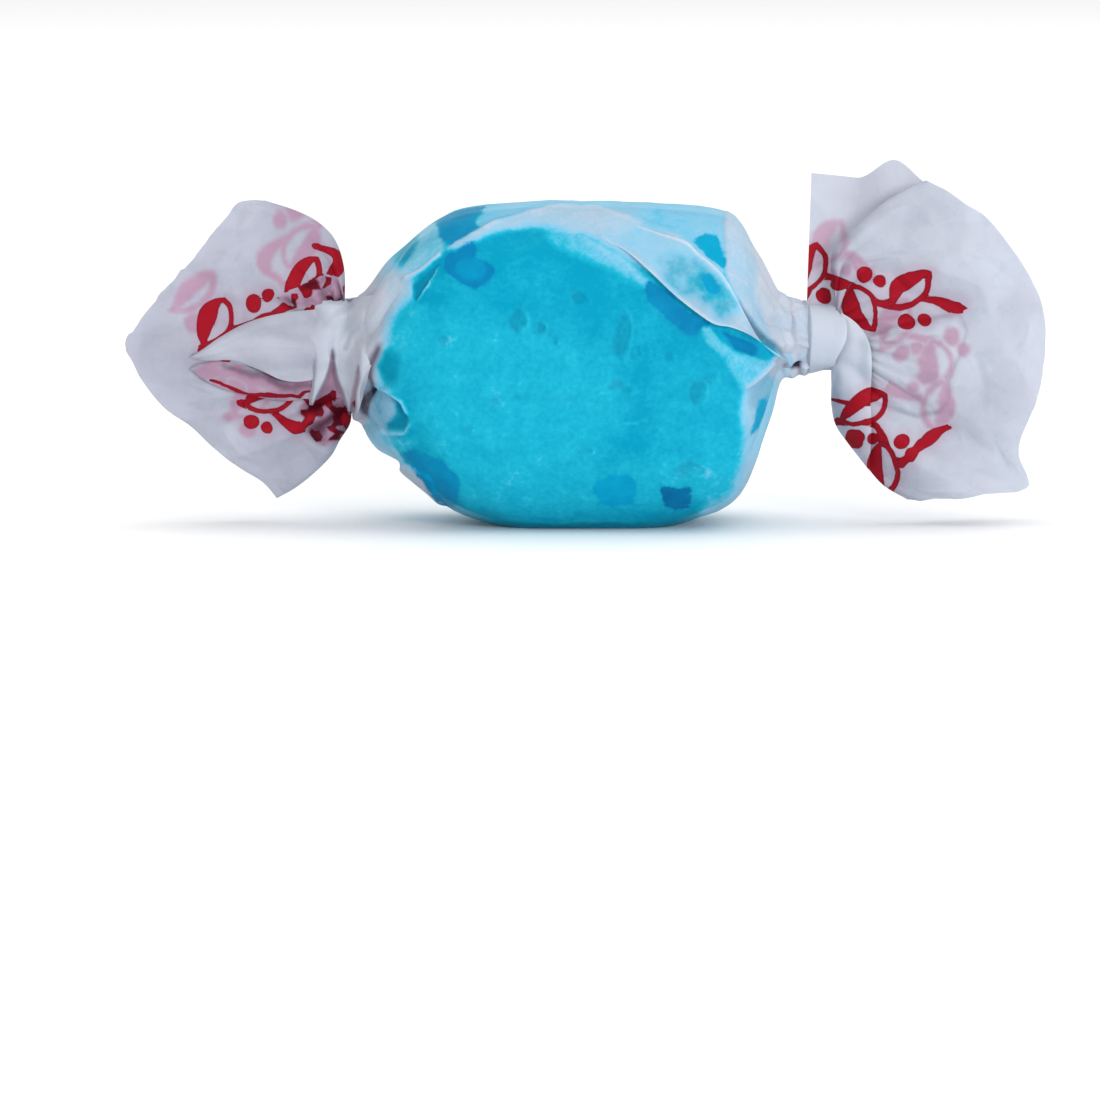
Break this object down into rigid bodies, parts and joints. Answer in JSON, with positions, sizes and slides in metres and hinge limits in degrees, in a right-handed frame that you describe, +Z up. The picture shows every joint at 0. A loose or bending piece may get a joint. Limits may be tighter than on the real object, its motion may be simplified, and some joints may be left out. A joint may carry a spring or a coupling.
{
  "type": "salt water taffy",
  "caption": "Piece of salt water taffy, a stubby soft log in translucent wax paper, twisted shut at both ends with fanned paper tails.",
  "frame": {"origin": "centre of the flat spot that the wrapped log rests on", "axes": "+X along the twist towards the tail with the tight neck, +Y from the side that shows most to the back, +Z up"},
  "size_m": [0.0624, 0.0183, 0.0246],
  "materials": {
    "taffy_in_wax_paper": "satin waxed paper lying on soft blue taffy, bluish white where the paper lifts and in the twisted tails"
  },
  "bodies": {
    "root": {"wrapped_taffy": "taffy_in_wax_paper"}
  },
  "joints": []
}
